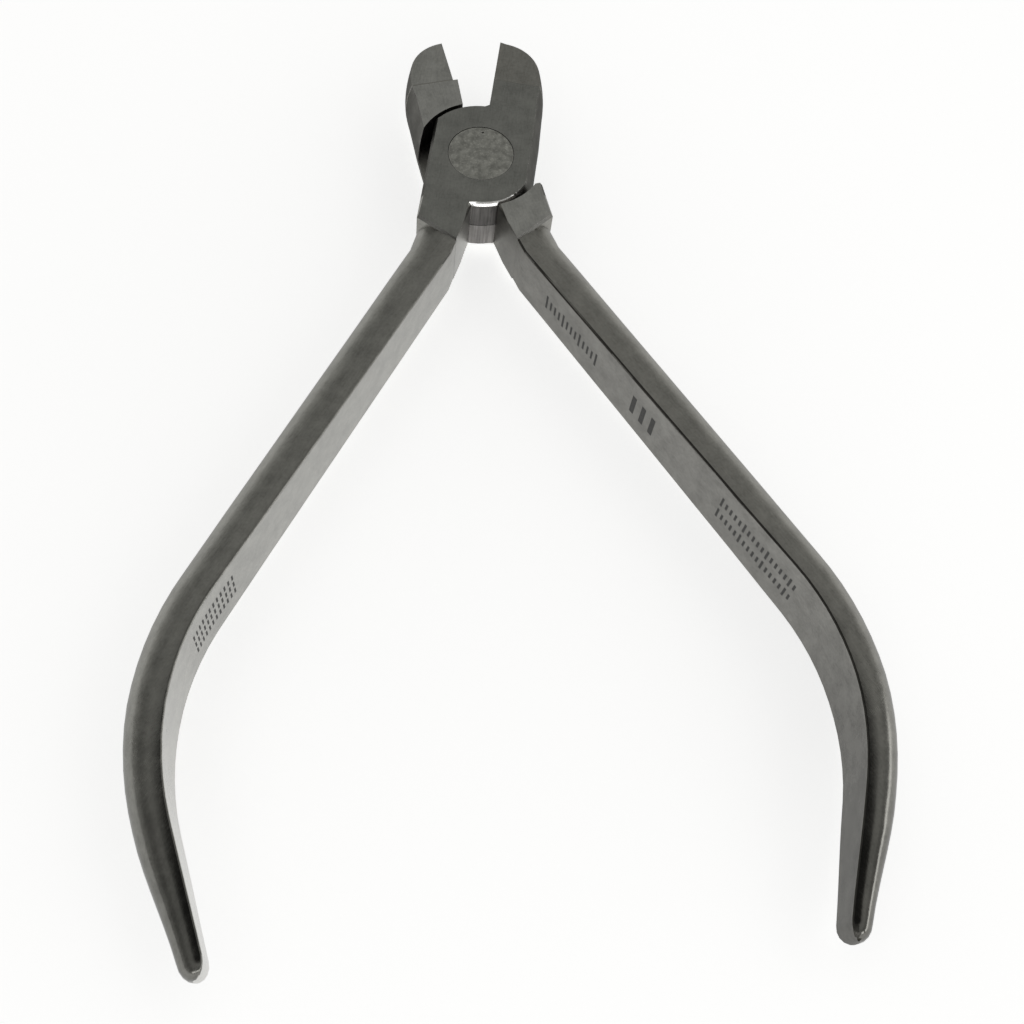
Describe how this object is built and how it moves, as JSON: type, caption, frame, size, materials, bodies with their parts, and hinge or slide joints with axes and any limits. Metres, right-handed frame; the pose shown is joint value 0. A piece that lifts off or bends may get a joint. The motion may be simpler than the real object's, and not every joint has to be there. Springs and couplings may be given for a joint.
{
  "type": "lap-joint nippers",
  "caption": "Lap-joint hand nippers with long bowed steel handles, a flush pivot screw locked by a nut and pin, and short rounded jaws with brazed hard-metal cutting tips.",
  "frame": {"origin": "centre of the pivot, on the rear face of the joint", "axes": "+Y from the pivot towards the jaws, +Z out of the front face of the joint along the pivot, +X to the right when the front face is seen with the jaws up; the jaws and handles are half open"},
  "size_m": [0.0846, 0.1193, 0.0112],
  "materials": {
    "satin_steel": "satin brushed stainless steel, with a brighter polished bevel round each lap",
    "ground_carbide": "ground hard metal, slightly darker and smoother than the jaws, bright where the edge is ground",
    "silver_braze": "thin bright line of silver solder",
    "ground_steel": "matt ground steel with a fine mottled grain"
  },
  "bodies": {
    "rear": {"rear_half": "satin_steel", "left_cutting_tip": "ground_carbide", "left_braze_seam": "silver_braze"},
    "front": {"front_half": "satin_steel", "right_cutting_tip": "ground_carbide", "right_braze_seam": "silver_braze", "pivot_screw": "ground_steel", "pivot_nut": "ground_steel", "lock_pin": "ground_steel"}
  },
  "joints": [
    {"name": "pivot", "type": "hinge", "parent": "rear", "child": "front", "pos_m": [0, 0, 0.0045], "axis": [0, 0, 1], "range_deg": [-42, 22]}
  ]
}
